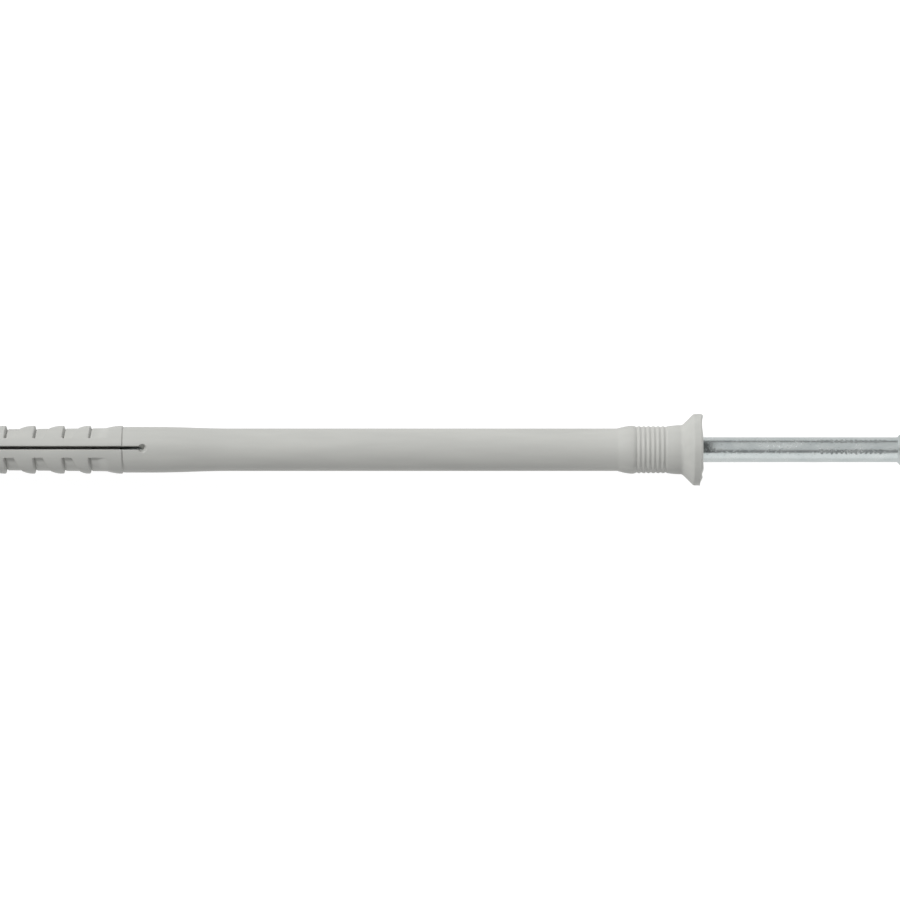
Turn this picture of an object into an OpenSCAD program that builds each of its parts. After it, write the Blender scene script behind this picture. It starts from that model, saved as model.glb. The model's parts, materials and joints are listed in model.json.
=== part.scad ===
// Hammer fixing plug: a slit nylon sleeve with a countersunk head, and the nail screw that is driven in.
// The axis is X. The sleeve's tip points to -X, the nail's head to +X, and X = 0 is the sleeve's face.
// The slit lies in the XZ plane, so the barbs stand at +Y and -Y.

/* [Sleeve] */
// Length from the face to the tip
sleeve_l = 140; // [125:1:180]
// Diameter of the drilled hole, and of the neck band that fills it
drill_d = 8; // [7.8:0.05:8.2]
// Diameter of the plain shank
shank_d = 7.43; // [6.6:0.01:7.7]
// Depth of the ridge where the anchoring length starts
ridge_depth = 101.6; // [90:0.1:104]
// Length of the neck band above the ridge
neck_l = 5.7; // [4:0.1:10]
// Length of the taper from the shank to the neck band
taper_l = 13; // [6:0.5:30]
// Length of the rounded nose
nose_l = 6.2; // [4:0.1:7.5]
// Diameter of the nose at the tip
nose_d = 5; // [4:0.1:6]

/* [Head] */
// Diameter of the head
head_d = 12.6; // [11.5:0.1:14]
// Thickness of the rim
rim_t = 1.45; // [1:0.05:2]
// Rounding of the rim's edges
rim_r = 0.4; // [0.1:0.05:0.45]
// Rise of the face from the rim to the nail's seat
face_rise = 0.1; // [0.05:0.05:0.8]
// Diameter of the collar under the head
collar_d = 8.6; // [8.5:0.05:9.2]
// Diameter of the collar at its lower end
collar_low_d = 8.24; // [8.1:0.01:8.6]
// Depth of the collar's lower end
collar_depth = 6.1; // [5.5:0.1:9]
// Radius of the hollow fillet between collar and head
head_fillet = 1; // [0.3:0.1:1.4]

/* [Ribs] */
// Number of ribs under the collar
rib_n = 6; // [3:1:9]
// Distance from rib to rib
rib_pitch = 0.84; // [0.6:0.02:1.2]
// Diameter over the ribs
rib_d = 8.26; // [8.1:0.01:8.4]
// Diameter in the grooves
groove_d = 7.94; // [7.5:0.01:8]
// Diameter of the swell below the ribs
swell_d = 8.4; // [8:0.01:8.5]
// Length of the rise from the last groove to the swell's top
swell_rise_l = 0.7; // [0.4:0.05:1.2]
// Length of the swell down to the shank
swell_l = 2.7; // [1.5:0.1:5]

/* [Barbs] */
// Distance from barb to barb
barb_pitch = 5.08; // [4.4:0.01:6]
// Distance from the ridge to the first barb's steep face
first_barb = 5.5; // [5:0.1:5.8]
// How much shorter the first barb is than the others
first_short = 0.46; // [0:0.02:0.8]
// Diameter over the ridge and the barbs
barb_d = 8.38; // [8.2:0.01:8.5]
// Length of a barb at its outer edge
barb_l = 2.2; // [1.8:0.1:3]
// How much further a barb reaches towards the tip beside the band
barb_back = 1.5; // [0:0.1:1.6]
// How much the steep face leans towards the tip beside the band
face_lean = 0.25; // [0:0.05:0.4]
// Width of the plain band along the slit
band_w = 3.46; // [2.4:0.02:4]
// Diameter of the pocket floors next to the ridge
floor_d = 7.6; // [7.2:0.01:7.8]
// Diameter of the pocket floors next to the nose
floor_tip_d = 7; // [6.6:0.01:7.2]
// Length of the ramp up to the ridge at its outer edge
ridge_ramp_l = 3; // [2:0.1:4]
// How much further that ramp reaches towards the tip beside the band
ridge_back = 0.6; // [0:0.1:1.2]

/* [Slit] */
// Width of the slit
slit_w = 0.6; // [0.3:0.05:0.8]
// Diameter of the conical dimple at the slit's end
dimple_d = 1.5; // [1:0.05:2]
// Depth of the dimple
dimple_depth = 1.2; // [0.3:0.05:1.4]
// Distance from the ridge to the dimple's centre
dimple_above_ridge = 3.65; // [1.5:0.05:4]

/* [Nail] */
// Diameter of the nail's shank
nail_d = 4.37; // [3.8:0.01:4.8]
// Distance from the driven nail's point to the sleeve's tip
tip_cover = 1.5; // [1:0.1:5]
// Diameter of the nail's head
nail_head_d = 8.2; // [7:0.1:8.8]
// Height of the head's rim
nail_rim = 0.35; // [0.2:0.05:0.6]
// Length of plain shank that stands out of the sleeve as supplied
stand_out = 34.1; // [10:0.1:36]
// Length of the conical point
point_l = 4; // [2:0.1:5]
// Diameter of the blunt end
point_d = 1; // [0.6:0.1:2]
// Span of the cross recess at the top
recess_span = 4.6; // [3.6:0.1:5]
// Depth of the cross recess
recess_depth = 2.4; // [1.5:0.1:2.6]
// Width of the recess's arms
recess_arm = 0.9; // [0.6:0.05:1.2]

/* [Fits] */
// Radial clearance of the nail in the bore
bore_gap = 0.08; // [0.03:0.01:0.1]
// Clearance around and under the nail's seated head
seat_gap = 0.1; // [0.05:0.01:0.2]

/* [Hidden] */
$fn = 96;

// Steps along a rounded stretch
steps = 6;
// Overlap of a cutter past the surface that it opens
past = 1;
// How quickly a barb's ramp rises at its foot
ramp_power = 2.5;

head_r = head_d / 2;
rim_x = -face_rise - rim_t;
collar_r = collar_d / 2;
collar_low_r = collar_low_d / 2;
shank_r = shank_d / 2;
neck_r = drill_d / 2;
band_y = band_w / 2;
barb_r = barb_d / 2;
groove_r = groove_d / 2;
swell_r = swell_d / 2;
rib_h = (rib_d - groove_d) / 2;

// The hollow fillet touches the collar here and turns 45 degrees into the head's cone
fillet_x = rim_x + collar_r - head_r + head_fillet * (1 - cos(45) - sin(45));
first_groove_x = -collar_depth - rib_pitch / 2;
swell_x = first_groove_x - rib_n * rib_pitch - swell_rise_l;
ridge_x = -ridge_depth;
neck_x = ridge_x + neck_l;
dimple_x = ridge_x + dimple_above_ridge;
nose_x = -sleeve_l + nose_l;
// As many barbs as fit between the ridge and the nose
barb_n = floor((ridge_x - first_barb + first_short - nose_x) / barb_pitch) + 1;
// The ridge's ramp stops short of the first barb
ramp_l = min(ridge_ramp_l, first_barb - ridge_back - slit_w);

nail_r = nail_d / 2;
nail_head_r = nail_head_d / 2;
bore_r = nail_r + bore_gap;
seat_r = nail_head_r + seat_gap;
seat_land = nail_rim + seat_gap;
// Where the nail's cone starts when its head is seated, and how far the nail is driven to get there
seated_x = seat_gap + nail_r - seat_land - seat_r;
travel = stand_out - seated_x;
nail_top_x = seated_x + nail_head_r - nail_r + nail_rim;
nail_tip_x = -sleeve_l + tip_cover;

// Half a wave from 0 to 1
function ease(t) = (1 - cos(180 * t)) / 2;
// Points of an arc about the centre c
function arc(c, r, from, to) =
    [for (i = [0 : steps]) let (a = from + (to - from) * i / steps) c + r * [cos(a), sin(a)]];
// Points of a wave between two points of an outline
function wave(a, b) =
    [for (i = [0 : steps]) let (t = i / steps) [a.x + (b.x - a.x) * ease(t), a.y + (b.y - a.y) * t]];
// Radius of the pocket floors at the place x
function floor_r(x) = (floor_d + (floor_tip_d - floor_d) * (ridge_x - x) / (ridge_x - nose_x)) / 2;
// Place of a barb's steep face, and the barb's length
function barb_x(i) = ridge_x - first_barb - i * barb_pitch + (i > 0 ? first_short : 0);
function barb_len(i) = i > 0 ? barb_l : barb_l - first_short;

// Turns an outline of [radius, x] points about the X axis
module turned(outline) {
    rotate([90, 0, 90])
        rotate_extrude()
            polygon(outline);
}

// Slightly crowned face, rounded rim, 45 degree cone and hollow fillet
function head_outline() =
    let (edge = head_r - rim_r, face_turn = atan(2 * face_rise / (edge - seat_r)))
    concat(
        [[0, 0]],
        [for (i = [0 : steps]) let (t = i / steps) [seat_r + (edge - seat_r) * t, -face_rise * t * t]],
        arc([edge, -face_rise - rim_r], rim_r, 90 - face_turn, 0),
        arc([edge, rim_x + rim_r * tan(22.5)], rim_r, 0, -45),
        arc([collar_r + head_fillet, fillet_x], head_fillet, 135, 180)
    );

// Collar, ribs and swell
function rib_outline() =
    concat(
        [for (i = [1 : steps - 1]) let (t = i / steps, x = fillet_x - (collar_depth + fillet_x) * t)
            [collar_low_r + (collar_r - collar_low_r) * cos(90 * t), x]],
        wave([collar_low_r, -collar_depth], [groove_r, first_groove_x]),
        [for (i = [1 : rib_n * steps - 1]) let (t = i / steps)
            [groove_r + rib_h * ease(2 * t), first_groove_x - t * rib_pitch]],
        wave([groove_r, first_groove_x - rib_n * rib_pitch], [swell_r, swell_x]),
        [for (i = [1 : steps]) let (t = i / steps)
            [shank_r + (swell_r - shank_r) * cos(90 * t), swell_x - swell_l * t]]
    );

// Taper up to the neck band, ridge and nose
function anchor_outline() =
    concat(
        wave([shank_r, neck_x + taper_l], [neck_r, neck_x]),
        [[neck_r, ridge_x], [barb_r, ridge_x]],
        [for (i = [0 : steps]) let (a = 90 * i / steps)
            [nose_d / 2 + (barb_r - nose_d / 2) * cos(a), nose_x - nose_l * sin(a)]],
        [[0, -sleeve_l]]
    );

// Bore with the countersunk seat for the nail's head, closing in around the nail's point
module bore() {
    end_r = point_d / 2 + bore_gap;
    end_x = nail_tip_x - seat_gap;
    turned([
        [0, past], [seat_r, past], [seat_r, -seat_land], [bore_r, -seat_land - seat_r + bore_r],
        [bore_r, end_x + point_l], [end_r, end_x], [end_r, -sleeve_l - past], [0, -sleeve_l - past]
    ]);
}

// Core that stays between the barbs, with the pocket floors on its outside
module core() {
    turned([
        [0, ridge_x], [floor_r(ridge_x), ridge_x], [floor_r(-sleeve_l), -sleeve_l], [0, -sleeve_l]
    ]);
}

// A barb or the ridge in plan, from its foot beside the band to its outer edge, rising as shape says
function ramp_points(x, length, back, shape) =
    let (foot = x - length, low = floor_r(foot), rise = barb_r + bore_gap / 2 - low)
    concat(
        [[foot - back, band_y]],
        [for (p = shape) [foot + length * p.x, low + rise * p.y]]
    );

// One side's row of pockets in plan: each barb rises from its foot in a ramp and ends in a steep face
function pocket_outline() =
    let (
        outer = barb_r + past,
        ridge_shape = [for (i = [0 : steps]) let (t = i / steps) [t, ease(t)]],
        barb_shape = [for (t = [0, 0.15, 0.35, 0.6, 1]) [t, 1 - pow(1 - t, ramp_power)]],
        last = barb_n - 1
    )
    concat(
        ramp_points(ridge_x, ramp_l, ridge_back, ridge_shape),
        [[ridge_x, outer], [barb_x(last), outer], [barb_x(last) - face_lean, band_y]],
        [for (i = [last - 1 : -1 : 0])
            each concat(
                ramp_points(barb_x(i), barb_len(i), barb_back, barb_shape),
                [[barb_x(i) - face_lean, band_y]]
            )]
    );

module pockets() {
    difference() {
        for (side = [0, 1])
            mirror([0, side, 0])
                translate([0, 0, -barb_d])
                    linear_extrude(2 * barb_d)
                        polygon(pocket_outline());
        core();
    }
}

// Slit from the tip half way into the dimples that end it, one on each side
module slit() {
    translate([-sleeve_l - past, -slit_w / 2, -barb_d])
        cube([dimple_x - dimple_d / 4 + sleeve_l + past, slit_w, 2 * barb_d]);
    for (side = [0, 1])
        mirror([0, 0, side])
            translate([dimple_x, 0, neck_r - dimple_depth])
                cylinder(d1 = slit_w, d2 = 2 * dimple_d - slit_w, h = 2 * dimple_depth);
}

module sleeve() {
    color("#b3b3ad")
        difference() {
            turned(concat(head_outline(), rib_outline(), anchor_outline()));
            pockets();
            slit();
            bore();
        }
}

// One pair of arms of the cross recess, narrowing towards its bottom
module recess_arms() {
    rotate([90, 0, 0])
        translate([0, 0, -recess_arm / 2])
            linear_extrude(recess_arm)
                polygon([
                    [past, -recess_span / 2], [past, recess_span / 2], [0, recess_span / 2],
                    [-recess_depth, recess_arm / 2], [-recess_depth, -recess_arm / 2], [0, -recess_span / 2]
                ]);
}

module nail() {
    color("#c6c9cc")
        translate([travel, 0, 0])
            difference() {
                turned([
                    [0, nail_tip_x], [point_d / 2, nail_tip_x], [nail_r, nail_tip_x + point_l],
                    [nail_r, seated_x], [nail_head_r, seated_x + nail_head_r - nail_r],
                    [nail_head_r, nail_top_x], [0, nail_top_x]
                ]);
                translate([nail_top_x, 0, 0])
                    for (turn = [0, 90])
                        rotate([turn, 0, 0])
                            recess_arms();
            }
}

sleeve();
nail();
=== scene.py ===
"""Hammer fixing plug: the moulded sleeve and its nail screw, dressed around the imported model."""
import json
import math

import bmesh
import bpy
import numpy as np
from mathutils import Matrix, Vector

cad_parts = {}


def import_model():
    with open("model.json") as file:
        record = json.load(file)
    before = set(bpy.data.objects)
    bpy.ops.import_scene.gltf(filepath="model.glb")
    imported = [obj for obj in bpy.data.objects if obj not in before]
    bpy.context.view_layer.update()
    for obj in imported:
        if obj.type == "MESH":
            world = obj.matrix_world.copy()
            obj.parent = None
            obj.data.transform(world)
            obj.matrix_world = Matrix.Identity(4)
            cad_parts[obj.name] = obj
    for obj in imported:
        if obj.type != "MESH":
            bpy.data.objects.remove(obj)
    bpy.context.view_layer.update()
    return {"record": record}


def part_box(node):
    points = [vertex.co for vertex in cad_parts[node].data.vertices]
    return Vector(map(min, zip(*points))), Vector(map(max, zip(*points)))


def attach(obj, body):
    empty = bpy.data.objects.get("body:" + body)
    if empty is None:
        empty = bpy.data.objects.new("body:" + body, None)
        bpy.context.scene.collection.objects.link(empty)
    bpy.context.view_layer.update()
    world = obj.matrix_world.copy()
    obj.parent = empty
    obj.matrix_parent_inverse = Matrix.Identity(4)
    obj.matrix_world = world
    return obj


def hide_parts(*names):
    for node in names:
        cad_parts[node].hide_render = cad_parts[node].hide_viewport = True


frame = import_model()

# Sizes are in millimetres unless a heading says otherwise, with the axis along X and the face at the origin
MM = 0.001


def end_x(node, corner):
    """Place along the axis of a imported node's lowest (0) or highest (1) corner, to a micrometre."""
    return round(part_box(node)[corner][0] / MM, 3)


drill_hole = next(mount["dims"] for mount in frame["record"]["mounts"] if mount["name"] == "drill_hole")

# Sleeve
SLEEVE_L = -end_x("sleeve", 0)
SHANK_R = 3.715
NECK_R = drill_hole["r_mm"]
NECK_L = drill_hole["length_mm"]
RIDGE_X = -101.6
NECK_X = RIDGE_X + NECK_L
TAPER_L = 13.0
NOSE_L = 6.2
NOSE_R = 2.5
NOSE_X = -SLEEVE_L + NOSE_L

# Head and collar
HEAD_R = 6.3
RIM_T = 1.45
RIM_ROUND = 0.4
FACE_RISE = 0.1
COLLAR_R = 4.3
COLLAR_LOW_R = 4.12
COLLAR_DEPTH = 6.1
HEAD_FILLET = 1.0
RIM_X = -FACE_RISE - RIM_T
FLASH_X = -FACE_RISE - RIM_ROUND
FILLET_X = RIM_X + COLLAR_R - HEAD_R + HEAD_FILLET * (1 - math.sqrt(2))

# Ribs and swell
RIB_N = 6
RIB_PITCH = 0.84
RIB_R = 4.13
GROOVE_R = 3.97
SWELL_R = 4.2
SWELL_RISE_L = 0.7
SWELL_L = 2.7
FIRST_GROOVE_X = -COLLAR_DEPTH - RIB_PITCH / 2
SWELL_X = FIRST_GROOVE_X - RIB_N * RIB_PITCH - SWELL_RISE_L

# Barbs and the pockets between them
BARB_N = 6
BARB_PITCH = 5.08
RIDGE_TO_BARB = 5.5
FIRST_BARB_X = RIDGE_X - RIDGE_TO_BARB
FIRST_SHORT = 0.46
BARB_R = 4.19
BARB_L = 2.2
BARB_BACK = 1.5
FACE_LEAN = 0.25
RAMP_POWER = 2.5
RAMP_TOP = BARB_R + 0.04
BAND_HALF = 1.73
FLOOR_R = 3.8
FLOOR_TIP_R = 3.5
RIDGE_RAMP_L = 3.0
RIDGE_RAMP_FROM = 0.15
RIDGE_BACK = 0.6
RIDGE_FADE = 1.1

# Slit and the dimple that ends it
SLIT_HALF = 0.3
DIMPLE_R = 0.75
DIMPLE_DEPTH = 1.2
DIMPLE_LEAN = 0.3
DIMPLE_LEAN_LIMITS = (-1.5, 1.0)
DIMPLE_POWER = 2.4
DIMPLE_ROUND = 0.2
DIMPLE_REACH = 1.4 * DIMPLE_R
RIDGE_TO_DIMPLE = 3.65
DIMPLE_X = RIDGE_X + RIDGE_TO_DIMPLE
DIMPLE_Y = -0.08
SLIT_END = DIMPLE_X - DIMPLE_R / 5

# Nail, placed as supplied
NAIL_R = 2.185
NAIL_HEAD_R = 4.1
NAIL_RIM = 0.35
POINT_L = 4.0
POINT_R = 0.5
RECESS_SPAN = 4.6
RECESS_DEPTH = 2.4
RECESS_ARM = 0.9
NAIL_TIP_X = end_x("nail", 0)
NAIL_TOP_X = end_x("nail", 1)
CONE_TOP_X = NAIL_TOP_X - NAIL_RIM
CONE_FOOT_X = CONE_TOP_X - NAIL_HEAD_R + NAIL_R

# Fits
BORE_GAP = 0.08
SEAT_GAP = 0.1
HOLE_L = 1.4
BORE_R = NAIL_R + BORE_GAP
SEAT_R = NAIL_HEAD_R + SEAT_GAP
SEAT_LAND = NAIL_RIM + SEAT_GAP
HOLE_R = POINT_R + BORE_GAP
HOLE_X = -SLEEVE_L + HOLE_L

# Fine shape of the sleeve that only the look needs
SLIT_ROUND = 0.12
LEDGE_ROUND = 0.06
BARB_ROUND = 0.03
CONE_ROUND = 0.5
SEAT_ROUND = 0.08
FLASH_H = 0.04
FLASH_W = 0.1
PARTING_H = 0.015
PARTING_W = 0.12

# Wear of the face: dents, and bulges as dents below zero, as (depth, place across, half width), and a facet
FACE_DENTS = ((0.14, 3.9, 1.3), (-0.2, 5.9, 0.5), (-0.08, -3.5, 0.7), (0.25, -6.2, 0.6))
UPPER_BULGE = (-0.15, -5.05, 0.28)
UPPER_FADE = 0.5
FACET_DEPTH = 0.16
FACET_Y = -3.95
FACET_SLANT = 0.03
FACET_EDGE = 0.4

# Fine shape of the nail that only the look needs, with angles in degrees
THREAD_FROM = 6.5
THREAD_TO = 44.0
THREAD_RUN_IN = 2.0
THREAD_RUN_OUT = 4.0
THREAD_PITCH = 2.1
THREAD_DEPTH = 0.26
THREAD_ROOT_SHARE = 0.2
THREAD_FLANK_SHARE = 0.6
GRIP_X = (20.0, 32.2)
GRIP_FADE = 0.5
GRIP_PITCH = 0.85
GRIP_DEPTH = 0.048
GRIP_UNEVEN = 0.25
GRIP_WANDER = 3.1
GRIP_SHARPNESS = 0.9
GRIP_ANGLES = (40, -15, 220, 165)
GRIP_FACING_LEAST = 0.2
NAIL_EDGE = 0.07
BLUNT_DEPTH = 0.06
BLUNT_L = 0.08

# Fineness of the meshes, with angles in degrees
MERGE = 0.0004
SLEEVE_CREASE = 48
NAIL_SIDES = 144
NAIL_CREASE = 35
THREAD_STEP = 0.13
GRIP_STEP = 0.085

# Finish, as linear colours and shares
NOISE_RANGE = (0.3, 0.7)
NYLON_COLOURS = ((0.435, 0.438, 0.418), (0.47, 0.473, 0.45))
NYLON_ROUGHNESS = (0.52, 0.64)
NYLON_SPECULAR = 0.35
ZINC_COLOURS = ((0.68, 0.735, 0.735), (0.78, 0.825, 0.82))
ZINC_ROUGHNESS = (0.21, 0.29)
ZINC_DENT_RANGE = (0.6, 0.72)
FLOOR_COLOURS = ((0.17, 0.17, 0.17), (0.19, 0.19, 0.19))
FLOOR_GLOW = 0.92

# Stage close to the plug
FLOOR_GAP = 0.02
BOUNCE_DROP = 0.5
FACE_CARD_MIDDLE = (20.0, 0.0, 3.0)
FACE_CARD_HALF = (20.0, 7.0)

# Stage around the plug, in metres
FLOOR_HALF = 4.0
WALL_DISTANCE = 3.9
CARD_DISTANCE = 1.6
CARD_HALF = 2.5

# Light, with angles in degrees
SKY = (0.33, 0.72)
KEY_ENERGY = 2.12
KEY_ANGLE = 9
KEY_DIRECTION = (0.75, -0.58, -1)
BOUNCE_RADIANCE = 1.15
GLOSS_RADIANCE = 0.68
FLAG_RADIANCE = 0.06
FACE_CARD_RADIANCE = 2.2

# Camera, with its elevation in degrees
CAMERA_AIM = (-44.24, -0.05, 0.0)
CAMERA_ELEVATION = 85.4
CAMERA_DISTANCE = 1095.3
CAMERA_LENS = 250.0
CAMERA_SENSOR = 36.0


def ease(t):
    """Half a wave from 0 to 1."""
    return (1 - np.cos(np.pi * t)) / 2


def bell(value, height, place, half_width):
    """A bump of the given height around a place."""
    return height * np.exp(-((value - place) / half_width) ** 2)


def smooth_min(a, b, k):
    """The lesser of a and b, with the corner rounded over k."""
    h = np.clip(0.5 + 0.5 * (b - a) / k, 0, 1)
    return b * (1 - h) + a * h - k * h * (1 - h)


def smooth_max(a, b, k):
    """The greater of a and b, with the corner filled over k."""
    return -smooth_min(-a, -b, k)


def arc(centre, radius, start, end, steps):
    """[radius, x] points of an arc in an outline, with the angles in degrees."""
    return [(centre[0] + radius * math.cos(a), centre[1] + radius * math.sin(a))
            for a in np.radians(np.linspace(start, end, steps + 1))]


def wave(a, b, steps):
    """[radius, x] points of half a wave between two points of an outline."""
    return [(a[0] + (b[0] - a[0]) * ease(t), a[1] + (b[1] - a[1]) * t) for t in np.linspace(0, 1, steps + 1)]


def falling(top, low, start, length, steps):
    """[radius, x] points that leave the top radius level and reach the low one at a slant."""
    return [(low + (top - low) * math.cos(t * math.pi / 2), start - length * t)
            for t in np.linspace(0, 1, steps + 1)[1:]]


# Outlines of the sleeve, as [radius, x] points from the face to the tip

def head_outline():
    """Face, rounded edge up to a thin line of flash, rim, cone and hollow fillet."""
    edge = HEAD_R - RIM_ROUND
    face_turn = math.degrees(math.atan(2 * FACE_RISE / (edge - SEAT_R)))
    inner = SEAT_R + SEAT_ROUND
    face = [(inner + (edge - inner) * t, -FACE_RISE * t * t) for t in np.linspace(0, 1, 9)]
    rim_r = HEAD_R - FLASH_H
    cone_x = RIM_X - FLASH_H + CONE_ROUND * math.tan(math.pi / 8)
    return (face
            + arc((edge, FLASH_X), RIM_ROUND, 90 - face_turn, 0, 8)
            + [(rim_r, FLASH_X - FLASH_W), (rim_r, FLASH_X - 2 * FLASH_W)]
            + arc((rim_r - CONE_ROUND, cone_x), CONE_ROUND, 0, -45, 6)
            + arc((COLLAR_R + HEAD_FILLET, FILLET_X), HEAD_FILLET, 135, 180, 8))


def rib_outline():
    """Collar, ribs and swell."""
    rib_h = RIB_R - GROOVE_R
    ribs = [(GROOVE_R + rib_h * ease(2 * t), FIRST_GROOVE_X - t * RIB_PITCH)
            for t in np.linspace(0, RIB_N, RIB_N * 10 + 1)[1:-1]]
    return (falling(COLLAR_R, COLLAR_LOW_R, FILLET_X, COLLAR_DEPTH + FILLET_X, 12)[:-1]
            + wave((COLLAR_LOW_R, -COLLAR_DEPTH), (GROOVE_R, FIRST_GROOVE_X), 7)
            + ribs
            + falling(SWELL_R, GROOVE_R, SWELL_X, -SWELL_RISE_L, 10)[::-1]
            + [(SWELL_R, SWELL_X)]
            + falling(SWELL_R, SHANK_R, SWELL_X, SWELL_L, 12))


def dimple_steps():
    """Places along the axis that follow the dimple and the slit's round end."""
    before = np.linspace(DIMPLE_X + DIMPLE_REACH, SLIT_END, 24)[:-1]
    round_end = SLIT_END - SLIT_HALF * (1 - np.cos(np.linspace(0, math.pi / 2, 9)))
    after = np.linspace(SLIT_END - 1.2 * SLIT_HALF, DIMPLE_X - DIMPLE_REACH, 13)
    return np.concatenate((before, round_end, after))


# The ridge's face, as (place from the ridge, share of its height), with a shallow groove before it
RIDGE_STEPS = ((0.5, 0), (0.3, -0.12), (0.15, -0.3), (0.07, -0.15), (0.03, 0.4), (-0.02, 0.85), (-0.08, 0.97))


def neck_outline():
    """Shank, taper and neck band, and the ridge's face."""
    shank = [(SHANK_R, x) for x in np.linspace(SWELL_X - SWELL_L, NECK_X + TAPER_L, 10)[1:-1]]
    ridge_h = BARB_R - NECK_R
    return (shank + wave((SHANK_R, NECK_X + TAPER_L), (NECK_R, NECK_X), 14)
            + [(NECK_R, x) for x in dimple_steps()]
            + [(NECK_R + share * ridge_h, RIDGE_X + d) for d, share in RIDGE_STEPS])


def nose_outline():
    """Rounded nose and the tip's flat end, up to the small hole in it."""
    nose = [(NOSE_R + (BARB_R - NOSE_R) * math.cos(a), NOSE_X - NOSE_L * math.sin(a))
            for a in np.linspace(0, math.pi / 2, 19)]
    return nose + [(r, -SLEEVE_L) for r in (0.8 * NOSE_R, 0.5 * NOSE_R, HOLE_R + SLIT_ROUND)]


def bore_outline():
    """From the tip's small hole up to the seat of the nail's head."""
    stretch = [(BORE_R, x) for x in np.linspace(HOLE_X + POINT_L, DIMPLE_X - 1.5 * DIMPLE_R, 8)]
    slit_end = [(BORE_R, x) for x in dimple_steps()[::-1]]
    return ([(HOLE_R, -SLEEVE_L + SLIT_ROUND), (HOLE_R, HOLE_X)] + stretch + slit_end
            + [(BORE_R, -SEAT_LAND - SEAT_R + BORE_R), (SEAT_R, -SEAT_LAND),
               (SEAT_R, -SEAT_ROUND), (SEAT_R + SEAT_ROUND / 3, -SEAT_ROUND / 3)])


def bore_radius(x):
    """Radius of the bore in the slit stretch, closing in around the driven nail's point."""
    return HOLE_R + (BORE_R - HOLE_R) * min(1.0, max(0.0, (x - HOLE_X) / POINT_L))


def slit_half_width(x):
    """Half the slit's width at a place along the axis, with the slit's end a half circle."""
    along = SLIT_END - x
    if along <= 0:
        return 0.0
    if along >= SLIT_HALF:
        return SLIT_HALF
    return math.sqrt(SLIT_HALF ** 2 - (SLIT_HALF - along) ** 2)


def dimple(x, y):
    """Depth of the dimple at the slit's end, with its edge rounded and one side sloping gently."""
    along = (x - DIMPLE_X) / DIMPLE_R
    across = (y - DIMPLE_Y) / DIMPLE_R
    lean = 1 + DIMPLE_LEAN * np.clip(across - along, *DIMPLE_LEAN_LIMITS)
    bowl = DIMPLE_DEPTH * lean * (1 - np.hypot(along, across) ** DIMPLE_POWER)
    return smooth_max(bowl, 0.0, DIMPLE_ROUND)


# Anchoring length: rows that follow the barbs' slanting feet and steep faces. The steps of a face and of a
# ramp's foot are (place along the axis, share of the pocket), where a share above 1 is the groove before the
# face. Those of a ramp are shares of its length

FACE_STEPS = ((0.4, 1), (0.28, 1.08), (0.17, 1.28), (0.1, 1.36), (0.04, 1.1),
              (-0.03, 0.6), (-0.09, 0.25), (-0.15, 0.05), (-0.23, 0))
FOOT_STEPS = ((0.0, 0.0), (-0.03, 0.25), (-0.07, 0.7), (-0.13, 0.94), (-0.22, 1))
RAMP_STEPS = (0.8, 0.65, 0.5, 0.38, 0.28, 0.2, 0.13, 0.08, 0.04)


def core_radius(x):
    """Radius of the pocket floors."""
    return FLOOR_R + (FLOOR_TIP_R - FLOOR_R) * (RIDGE_X - x) / (RIDGE_X - NOSE_X)


def ridge_rows():
    """Rows down the ridge's ramp, which fades into the first pocket beside the band."""
    foot_x = RIDGE_X - RIDGE_RAMP_L
    low = core_radius(foot_x)
    rows = []
    for x in np.linspace(RIDGE_X - RIDGE_RAMP_FROM, foot_x - RIDGE_FADE, 26):
        t = max(0.0, (x - foot_x) / RIDGE_RAMP_L)
        share = ease(np.clip((foot_x + RIDGE_FADE - x) / (2 * RIDGE_FADE), 0, 1))
        rows.append((x, RIDGE_BACK * (1 - t), share, low + (RAMP_TOP - low) * ease(t)))
    return rows


def ramp_rows(x, length):
    """Rows down a barb's ramp and past its foot."""
    foot_x = x - length
    low = core_radius(foot_x)
    slope = [(foot_x + length * t, FACE_LEAN + (BARB_BACK - FACE_LEAN) * (1 - t), 0.0,
              low + (RAMP_TOP - low) * (1 - (1 - t) ** RAMP_POWER)) for t in RAMP_STEPS]
    return slope + [(foot_x + d, BARB_BACK, share, low) for d, share in FOOT_STEPS]


def anchor_rows():
    """Rows as (place, reach towards the tip beside the band, share of the pocket, half width of the barb)."""
    rows = ridge_rows()
    for i in range(BARB_N):
        barb_x = FIRST_BARB_X - i * BARB_PITCH + (FIRST_SHORT if i else 0.0)
        start_x, start_reach = rows[-1][:2]
        face_x = barb_x + FACE_STEPS[0][0]
        rows += [(start_x + (face_x - start_x) * t, start_reach + (FACE_LEAN - start_reach) * t, 1.0, BARB_R)
                 for t in (0.25, 0.5, 0.75)]
        rows += [(barb_x + d, FACE_LEAN, share, BARB_R) for d, share in FACE_STEPS]
        if i < BARB_N - 1:
            rows += ramp_rows(barb_x, BARB_L - (0.0 if i else FIRST_SHORT))
    last_x = rows[-1][0]
    return rows + [(last_x + (NOSE_X - last_x) * t, FACE_LEAN * (1 - t), 0.0, BARB_R) for t in (0.25, 0.6)]


def anchor_radius(x, row, theta):
    """Radius of the anchoring length: the band along the slit, the barbs and the pockets beside it."""
    share, half_width = row[2:]
    across = np.sin(theta)
    core = core_radius(x)
    pocket = smooth_max(core, smooth_min(BARB_R, BAND_HALF / across, LEDGE_ROUND), LEDGE_ROUND)
    barb = smooth_max(core, smooth_min(BARB_R, half_width / across, BARB_ROUND), BARB_ROUND)
    return np.minimum(barb * (1 - share) + pocket * share, BARB_R)


# Columns of half the sleeve, from the slit's upper edge to its lower one: steps past the edge, and then
# angles in radians. In the barbs' rows only the columns within the pivot's angle make room for the slit

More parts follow.
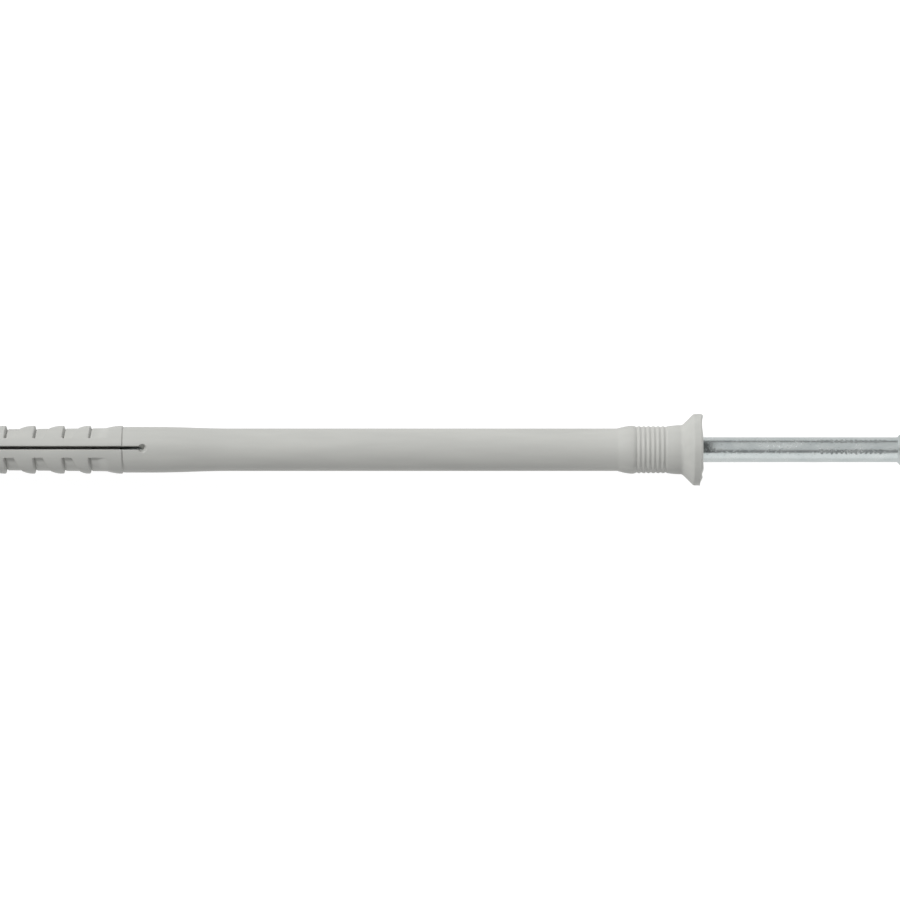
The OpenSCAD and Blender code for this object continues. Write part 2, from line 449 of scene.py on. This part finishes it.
EDGE_STEPS = SLIT_ROUND * np.array((0.0, 0.1, 0.28, 0.55, 1.0, 1.7))
COLUMN_GAP = 0.03
PIVOT = math.radians(20)


def quarter_columns():
    """Angles past the slit's edge, close together where the band's ledge falls away."""
    band = np.concatenate((np.linspace(4.5, 13, 9), np.linspace(14.4, 20, 5)))
    ledge = np.concatenate(((21.5, 22.7), np.linspace(23.3, 28.1, 13), (28.8, 29.8)))
    side = np.linspace(31.5, 86, 13)
    return np.radians(np.concatenate((band, ledge, side, (88, 89, 90))))


COLUMNS = quarter_columns()


def row_angles(radius, half_width, slanting):
    """Angles from the top of one row's columns, and the depth of the slit's rounded edge in each."""
    near = np.arcsin((half_width + EDGE_STEPS) / radius)
    pivot = PIVOT if slanting else math.pi / 2
    first = COLUMNS[0] - COLUMN_GAP
    squeezed = near[-1] + (COLUMNS - first) * (pivot - near[-1]) / (pivot - first)
    quarter = np.concatenate((near, np.where(COLUMNS < pivot, squeezed, COLUMNS)))
    gap = np.clip(1 - EDGE_STEPS / SLIT_ROUND, 0, 1)
    drop = np.zeros(len(quarter))
    drop[:len(near)] = half_width / SLIT_HALF * SLIT_ROUND * (1 - np.sqrt(1 - gap ** 2))
    return np.concatenate((quarter, math.pi - quarter[-2::-1])), np.concatenate((drop, drop[-2::-1]))


def rim_wear(x, y, z):
    """How far the face is worn back, in a hollow on one side and an uneven facet on the other."""
    dents = sum(bell(y, *dent) for dent in FACE_DENTS)
    bulge = bell(y, *UPPER_BULGE) * np.clip(UPPER_FADE + z, 0, 1)
    facet = FACET_DEPTH * ease(np.clip((FACET_Y + FACET_SLANT * z - y) / FACET_EDGE, 0, 1))
    return (dents + bulge + facet) * min(1.0, max(0.0, 1 + (x + FACE_RISE) / RIM_ROUND))


def row_points(side, x, radius, row=None, outer=True):
    """Points of one row on one half of the sleeve."""
    reach = row[1] if row else 0.0
    theta, edge_drop = row_angles(radius, slit_half_width(x - reach), row is not None)
    across = np.clip(BARB_R * (1 - np.sin(theta)) / (BARB_R - BAND_HALF), 0, 1)
    xs = x - reach * across
    rs = anchor_radius(xs, row, theta) if row else np.full(len(theta), radius)
    if outer:
        rs = rs - edge_drop
        if abs(x - DIMPLE_X) < 2 * DIMPLE_R:
            rs = rs - dimple(xs, side * radius * np.sin(theta))
        if SHANK_R <= radius < COLLAR_R:
            rs = rs + bell((theta - math.pi / 2) * radius, PARTING_H, 0, PARTING_W)
    ys = side * rs * np.sin(theta)
    zs = rs * np.cos(theta)
    if radius >= SEAT_R:
        xs = xs - rim_wear(x, ys, zs)
    return np.stack((xs, ys, zs), axis=1)


def half_sleeve(side):
    """Vertices and faces of one half: a closed band of rows round the wall, and the walls of the slit."""
    outer = [row_points(side, x, r) for r, x in head_outline() + rib_outline() + neck_outline()]
    outer += [row_points(side, row[0], BARB_R, row) for row in anchor_rows()]
    outer += [row_points(side, x, r) for r, x in nose_outline()]
    inner = [row_points(side, x, r, outer=False) for r, x in bore_outline()]
    grid = np.array(outer + inner)
    row_n, column_n = grid.shape[:2]
    index = np.arange(row_n * column_n).reshape(row_n, column_n)
    after = np.roll(index, -1, axis=0)
    faces = np.stack((index[:, :-1], after[:, :-1], after[:, 1:], index[:, 1:]), axis=-1).reshape(-1, 4)
    vertices = grid.reshape(-1, 3).tolist()
    walls = []
    for column, up in ((0, 1), (column_n - 1, -1)):
        previous = None
        for i in range(len(outer)):
            edge_x, edge_y = grid[i, column, :2]
            if edge_x > SLIT_END:
                continue
            height = math.sqrt(bore_radius(edge_x) ** 2 - edge_y ** 2)
            current = (index[i, column], len(vertices))
            vertices.append((edge_x, edge_y, up * height))
            if previous is not None:
                walls.append((previous[0], current[0], current[1], previous[1]))
            previous = current
    return np.array(vertices), np.concatenate((faces, np.array(walls)))


def link(name, data):
    """A new object in the scene."""
    made = bpy.data.objects.new(name, data)
    bpy.context.scene.collection.objects.link(made)
    return made


def sleeve():
    """The two halves, merged where they meet above the slit's end."""
    halves = [half_sleeve(1), half_sleeve(-1)]
    vertices = np.concatenate([half[0] for half in halves]) * MM
    faces = np.concatenate((halves[0][1], halves[1][1][:, ::-1] + len(halves[0][0])))
    mesh = bpy.data.meshes.new("sleeve_moulding")
    mesh.from_pydata(vertices.tolist(), [], faces.tolist())
    work = bmesh.new()
    work.from_mesh(mesh)
    bmesh.ops.remove_doubles(work, verts=work.verts, dist=MERGE * MM)
    bmesh.ops.dissolve_degenerate(work, edges=work.edges, dist=MERGE * MM)
    bmesh.ops.recalc_face_normals(work, faces=work.faces)
    work.to_mesh(mesh)
    work.free()
    mesh.shade_smooth()
    mesh.set_sharp_from_angle(angle=math.radians(SLEEVE_CREASE))
    return link("sleeve_moulding", mesh)


# Nail screw

def nail_rows():
    """Places along the nail, close together in the thread and under the gripping marks."""
    thread_end = NAIL_TIP_X + THREAD_TO
    return np.concatenate((
        NAIL_TIP_X + np.array((0.0, 0.06, 0.2)),
        np.arange(NAIL_TIP_X + 0.4, thread_end + 2.0, THREAD_STEP),
        np.linspace(thread_end + 2.2, GRIP_X[0] - 1.0, 12),
        np.arange(GRIP_X[0] - 0.8, GRIP_X[1] + 0.6, GRIP_STEP),
        CONE_FOOT_X - np.array((0.6, 0.3, 0.12, 0.0)),
    ))


def grip_radius(x, theta):
    """Distance from the axis to the small uneven flats that the gripping dies' teeth leave."""
    inside = np.clip((x - GRIP_X[0]) / GRIP_FADE, 0, 1) * np.clip((GRIP_X[1] - x) / GRIP_FADE, 0, 1)
    tooth = np.clip(0.5 + GRIP_SHARPNESS * np.cos(2 * np.pi * (x - GRIP_X[0]) / GRIP_PITCH), 0, 1)
    radius = np.full(len(theta), NAIL_R)
    for angle in np.radians(GRIP_ANGLES):
        uneven = 1 - GRIP_UNEVEN + GRIP_UNEVEN * np.sin(GRIP_WANDER * x + angle)
        depth = GRIP_DEPTH * inside * tooth * uneven
        facing = np.maximum(np.cos(theta - angle), GRIP_FACING_LEAST)
        radius = np.minimum(radius, (NAIL_R - depth) / facing)
    return radius


def nail_radius(x, theta):
    """Plain shank, with a point and a rolled thread in front and the gripping dies' marks below the head."""
    along = x - NAIL_TIP_X
    blunt = BLUNT_DEPTH * np.exp(-along / BLUNT_L)
    point = POINT_R + (NAIL_R - POINT_R) * np.clip(along / POINT_L, 0, 1) - blunt
    turn = np.mod(along / THREAD_PITCH + theta / (2 * np.pi), 1.0)
    crest = np.clip((1 - np.abs(2 * turn - 1) - THREAD_ROOT_SHARE) / THREAD_FLANK_SHARE, 0, 1)
    run_in = np.clip((along - THREAD_FROM) / THREAD_RUN_IN, 0, 1)
    run_out = np.clip((THREAD_TO - along) / THREAD_RUN_OUT, 0, 1)
    thread = NAIL_R - THREAD_DEPTH * run_out * run_in * (1 - crest * crest * (3 - 2 * crest))
    return np.minimum(np.minimum(point, thread), grip_radius(x, theta))


def nail_body():
    """The nail without its recess."""
    theta = np.arange(NAIL_SIDES) * 2 * np.pi / NAIL_SIDES
    rings = [(x, nail_radius(x, theta)) for x in nail_rows()]
    head = [(CONE_TOP_X - NAIL_EDGE, NAIL_HEAD_R - NAIL_EDGE),
            (CONE_TOP_X - NAIL_EDGE / 4, NAIL_HEAD_R - NAIL_EDGE / 4),
            (CONE_TOP_X + NAIL_EDGE, NAIL_HEAD_R)]
    head += [(NAIL_TOP_X - NAIL_EDGE * (1 - math.sin(a)), NAIL_HEAD_R - NAIL_EDGE * (1 - math.cos(a)))
             for a in np.linspace(0, math.pi / 2, 5)]
    rings += [(x, np.full(NAIL_SIDES, r)) for x, r in head]
    points = np.array([np.stack((np.full(NAIL_SIDES, x), r * np.sin(theta), r * np.cos(theta)), axis=1)
                       for x, r in rings])
    index = np.arange(len(rings) * NAIL_SIDES).reshape(len(rings), NAIL_SIDES)
    beside = np.roll(index, -1, axis=1)
    faces = np.stack((index[:-1], beside[:-1], beside[1:], index[1:]), axis=-1).reshape(-1, 4).tolist()
    faces.append(index[0, ::-1].tolist())
    faces.append(index[-1].tolist())
    mesh = bpy.data.meshes.new("nail_screw")
    mesh.from_pydata((points.reshape(-1, 3) * MM).tolist(), [], faces)
    return link("nail_screw", mesh)


def recess_cutter():
    """Cross of two tapering arms that opens above the nail's top."""
    above = 0.5
    top = NAIL_TOP_X + above
    bottom = NAIL_TOP_X - RECESS_DEPTH
    arm = RECESS_ARM / 2
    wide = RECESS_SPAN / 2 + above * (RECESS_SPAN / 2 - arm) / RECESS_DEPTH
    outline = ((wide, arm), (arm, arm), (arm, wide), (-arm, wide), (-arm, arm), (-wide, arm),
               (-wide, -arm), (-arm, -arm), (-arm, -wide), (arm, -wide), (arm, -arm), (wide, -arm))
    n = len(outline)
    work = bmesh.new()
    points = [work.verts.new(Vector((top, y, z)) * MM) for y, z in outline]
    points += [work.verts.new(Vector((bottom, *np.clip((y, z), -arm, arm))) * MM) for y, z in outline]
    work.faces.new(points[:n])
    for i in range(n):
        j = (i + 1) % n
        work.faces.new((points[i], points[n + i], points[n + j], points[j]))
    work.faces.new(points[:n - 1:-1])
    bmesh.ops.remove_doubles(work, verts=work.verts, dist=MERGE * MM)
    bmesh.ops.recalc_face_normals(work, faces=work.faces)
    mesh = bpy.data.meshes.new("recess_cutter")
    work.to_mesh(mesh)
    work.free()
    return link("recess_cutter", mesh)


def nail():
    """The nail with the recess cut into its head."""
    made = nail_body()
    cutter = recess_cutter()
    cut = made.modifiers.new("recess", "BOOLEAN")
    cut.operation = "DIFFERENCE"
    cut.object = cutter
    cut.solver = "EXACT"
    graph = bpy.context.evaluated_depsgraph_get()
    made.data = bpy.data.meshes.new_from_object(made.evaluated_get(graph))
    made.modifiers.clear()
    bpy.data.objects.remove(cutter)
    made.data.shade_smooth()
    made.data.set_sharp_from_angle(angle=math.radians(NAIL_CREASE))
    return made


# Materials

def new_material(name):
    """A material with its node tree, its shader and the place on the object in metres."""
    material = bpy.data.materials.new(name)
    material.use_nodes = True
    tree = material.node_tree
    place = tree.nodes.new("ShaderNodeTexCoord")
    return material, tree, tree.nodes["Principled BSDF"], place.outputs["Object"]


def noise(tree, place, size, stretch=(1, 1, 1), detail=4.0):
    """Noise with features of about the given size in millimetres, stretched along an axis where asked."""
    mapping = tree.nodes.new("ShaderNodeMapping")
    mapping.inputs["Scale"].default_value = [1 / (size * MM * s) for s in stretch]
    texture = tree.nodes.new("ShaderNodeTexNoise")
    texture.inputs["Scale"].default_value = 1.0
    texture.inputs["Detail"].default_value = detail
    tree.links.new(place, mapping.inputs["Vector"])
    tree.links.new(mapping.outputs["Vector"], texture.inputs["Vector"])
    return texture.outputs["Fac"]


def ramp(tree, value, colours):
    """A colour between two, over the range that most of the noise lies in."""
    node = tree.nodes.new("ShaderNodeValToRGB")
    for element, position, colour in zip(node.color_ramp.elements, NOISE_RANGE, colours):
        element.position = position
        element.color = (*colour, 1)
    tree.links.new(value, node.inputs["Fac"])
    return node.outputs["Color"]


def spread(tree, value, results, limits=NOISE_RANGE):
    """A value moved from between its limits to between two results."""
    node = tree.nodes.new("ShaderNodeMapRange")
    node.inputs["From Min"].default_value = limits[0]
    node.inputs["From Max"].default_value = limits[1]
    node.inputs["To Min"].default_value = results[0]
    node.inputs["To Max"].default_value = results[1]
    tree.links.new(value, node.inputs["Value"])
    return node.outputs["Result"]


def bump(tree, height, distance, strength, below=None):
    """Bump of the given distance in millimetres, on top of another where one is given."""
    node = tree.nodes.new("ShaderNodeBump")
    node.inputs["Distance"].default_value = distance * MM
    node.inputs["Strength"].default_value = strength
    tree.links.new(height, node.inputs["Height"])
    if below is not None:
        tree.links.new(below, node.inputs["Normal"])
    return node.outputs["Normal"]


def nylon():
    """Light grey moulded nylon: soft sheen, faint flow marks along the length and a fine grain."""
    material, tree, shader, place = new_material("light_grey_nylon")
    flow = noise(tree, place, size=2.2, stretch=(6, 1, 1), detail=3.0)
    grain = noise(tree, place, size=0.35)
    sheen = noise(tree, place, size=1.4, stretch=(3, 1, 1))
    soft = bump(tree, flow, distance=0.03, strength=0.3)
    tree.links.new(ramp(tree, flow, NYLON_COLOURS), shader.inputs["Base Color"])
    tree.links.new(spread(tree, sheen, NYLON_ROUGHNESS), shader.inputs["Roughness"])
    tree.links.new(bump(tree, grain, distance=0.006, strength=0.5, below=soft), shader.inputs["Normal"])
    shader.inputs["Specular IOR Level"].default_value = NYLON_SPECULAR
    return material


def zinc():
    """Bright zinc plating on drawn wire: faint lines along the length, small dents and a cloudy sheen."""
    material, tree, shader, place = new_material("bright_zinc")
    drawn = noise(tree, place, size=0.25, stretch=(40, 1, 1), detail=3.0)
    cloud = noise(tree, place, size=1.6, stretch=(2, 1, 1))
    dents = spread(tree, noise(tree, place, size=0.4, detail=1.0), (0.0, 1.0), ZINC_DENT_RANGE)
    lines = bump(tree, drawn, distance=0.008, strength=0.35)
    tree.links.new(ramp(tree, cloud, ZINC_COLOURS), shader.inputs["Base Color"])
    tree.links.new(spread(tree, cloud, ZINC_ROUGHNESS), shader.inputs["Roughness"])
    tree.links.new(bump(tree, dents, distance=0.05, strength=0.36, below=lines), shader.inputs["Normal"])
    shader.inputs["Metallic"].default_value = 1.0
    return material


def plain_emitter(name, strength):
    """A black surface that gives off even white light."""
    material = bpy.data.materials.new(name)
    material.use_nodes = True
    shader = material.node_tree.nodes["Principled BSDF"]
    shader.inputs["Base Color"].default_value = (0, 0, 0, 1)
    shader.inputs["Specular IOR Level"].default_value = 0.0
    shader.inputs["Emission Color"].default_value = (1, 1, 1, 1)
    shader.inputs["Emission Strength"].default_value = strength
    return material


def floor_material():
    """White studio floor, lit from behind so that shadows on it stay faint."""
    material, tree, shader, place = new_material("white_floor")
    tree.links.new(ramp(tree, noise(tree, place, size=60.0), FLOOR_COLOURS), shader.inputs["Base Color"])
    shader.inputs["Roughness"].default_value = 0.9
    shader.inputs["Specular IOR Level"].default_value = 0.1
    shader.inputs["Emission Color"].default_value = (1, 1, 1, 1)
    shader.inputs["Emission Strength"].default_value = FLOOR_GLOW
    return material


# Stage

def plane(name, centre, across, along, material):
    """A rectangle with the given half sides, as vectors in metres."""
    mesh = bpy.data.meshes.new(name)
    centre, across, along = Vector(centre), Vector(across), Vector(along)
    corners = [centre + u * across + v * along for u, v in ((-1, -1), (1, -1), (1, 1), (-1, 1))]
    mesh.from_pydata(corners, [], [(0, 1, 2, 3)])
    mesh.materials.append(material)
    made = link(name, mesh)
    return made


def seen_by(piece, kind):
    """Leaves a piece of the stage visible to one kind of ray."""
    for name in ("camera", "diffuse", "glossy", "transmission", "shadow"):
        setattr(piece, "visible_" + name, name == kind)


def floor():
    """The floor lies just under the head's rim and the last barbs, where the plug comes to lie."""
    slope = (HEAD_R - BARB_R) / (FLASH_X - NOSE_X)
    along = Vector((1, 0, -slope)).normalized() * FLOOR_HALF
    across = (0, FLOOR_HALF, 0)
    middle = Vector((FLASH_X, 0, -HEAD_R - FLOOR_GAP)) * MM
    seen_by(plane("floor", middle, along, across, floor_material()), "camera")
    below = middle - Vector((0, 0, BOUNCE_DROP)) * MM
    lower_floors = (("floor_bounce", BOUNCE_RADIANCE, "diffuse"), ("floor_gloss", GLOSS_RADIANCE, "glossy"))
    for name, radiance, kind in lower_floors:
        seen_by(plane(name, below, along, across, plain_emitter(name, radiance)), kind)


def backdrop():
    """White walls around the floor, so that level views have no horizon."""
    white = plain_emitter("backdrop", 1.0)
    up = (0, 0, FLOOR_HALF)
    for i, (x, y) in enumerate(((1, 0), (0, 1), (-1, 0), (0, -1))):
        middle = (WALL_DISTANCE * x, WALL_DISTANCE * y, 0)
        wall = plane("backdrop_%d" % i, middle, (FLOOR_HALF * y, FLOOR_HALF * x, 0), up, white)
        seen_by(wall, "camera")


def card(name, low, high, radiance):
    """A strip along the axis between two angles from overhead, towards +Y, that only reflections see."""
    start, end = [Vector((0, math.sin(a), math.cos(a))) * CARD_DISTANCE for a in np.radians((low, high))]
    middle = (start + end) / 2
    strip = plane(name, middle, (CARD_HALF, 0, 0), (end - start) / 2, plain_emitter(name, radiance))
    seen_by(strip, "glossy")


def flag(name, middle, half_length, half_width):
    """A dark strip close over the plug that only reflections see, with its sizes in millimetres."""
    strip = plane(name, Vector(middle) * MM, (half_length * MM, 0, 0), (0, half_width * MM, 0),
                  plain_emitter(name, FLAG_RADIANCE))
    seen_by(strip, "glossy")


def face_card():
    """A bright card before the face, which lights the face and the rim's edge and shows in no reflection."""
    middle = Vector(FACE_CARD_MIDDLE) * MM
    across = (0, FACE_CARD_HALF[0] * MM, 0)
    upwards = (0, 0, FACE_CARD_HALF[1] * MM)
    made = plane("face_card", middle, across, upwards, plain_emitter("face_card", FACE_CARD_RADIANCE))
    seen_by(made, "diffuse")


def world():
    """A soft sky, brighter towards +Y."""
    studio = bpy.data.worlds.new("studio")
    studio.use_nodes = True
    tree = studio.node_tree
    direction = tree.nodes.new("ShaderNodeTexCoord")
    parts = tree.nodes.new("ShaderNodeSeparateXYZ")
    tree.links.new(direction.outputs["Generated"], parts.inputs["Vector"])
    background = tree.nodes["Background"]
    background.inputs["Color"].default_value = (1, 1, 1, 1)
    tree.links.new(spread(tree, parts.outputs["Y"], SKY, limits=(-1, 1)), background.inputs["Strength"])
    bpy.context.scene.world = studio


def lights():
    """A soft key light, and the cards and flags that shape the reflections."""
    key = bpy.data.lights.new("key", "SUN")
    key.energy = KEY_ENERGY
    key.angle = math.radians(KEY_ANGLE)
    lamp = link("key", key)
    lamp.rotation_mode = "QUATERNION"
    lamp.rotation_quaternion = Vector(KEY_DIRECTION).to_track_quat("-Z", "Y")
    card("panel", low=-95, high=-35, radiance=0.85)
    card("lens_flag", low=-34, high=-8, radiance=0.2)
    card("ceiling", low=-8, high=70, radiance=0.55)
    card("side_flag", low=70, high=89, radiance=0.2)
    flag("head_flag", middle=(-2.2, 9.0, HEAD_R + 1.4), half_length=4, half_width=14)
    flag("slit_flag", middle=(-104.5, 1.0, NECK_R + 6.0), half_length=9, half_width=4)
    face_card()


def camera():
    """Nearly overhead, as the photograph looks at the plug."""
    lens = bpy.data.cameras.new("camera")
    lens.lens = CAMERA_LENS
    lens.sensor_width = CAMERA_SENSOR
    eye = link("camera", lens)
    elevation = math.radians(CAMERA_ELEVATION)
    back = Vector((0, -math.cos(elevation), math.sin(elevation)))
    eye.location = (Vector(CAMERA_AIM) + back * CAMERA_DISTANCE) * MM
    eye.rotation_mode = "QUATERNION"
    eye.rotation_quaternion = (-back).to_track_quat("-Z", "Y")
    bpy.context.scene.camera = eye


def dress(piece, node, material):
    """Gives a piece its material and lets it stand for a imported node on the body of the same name."""
    piece.data.materials.clear()
    piece.data.materials.append(material)
    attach(piece, node)
    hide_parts(node)


bpy.context.scene.view_settings.view_transform = "Standard"
camera()
world()
lights()
floor()
backdrop()
dress(sleeve(), "sleeve", nylon())
dress(nail(), "nail", zinc())
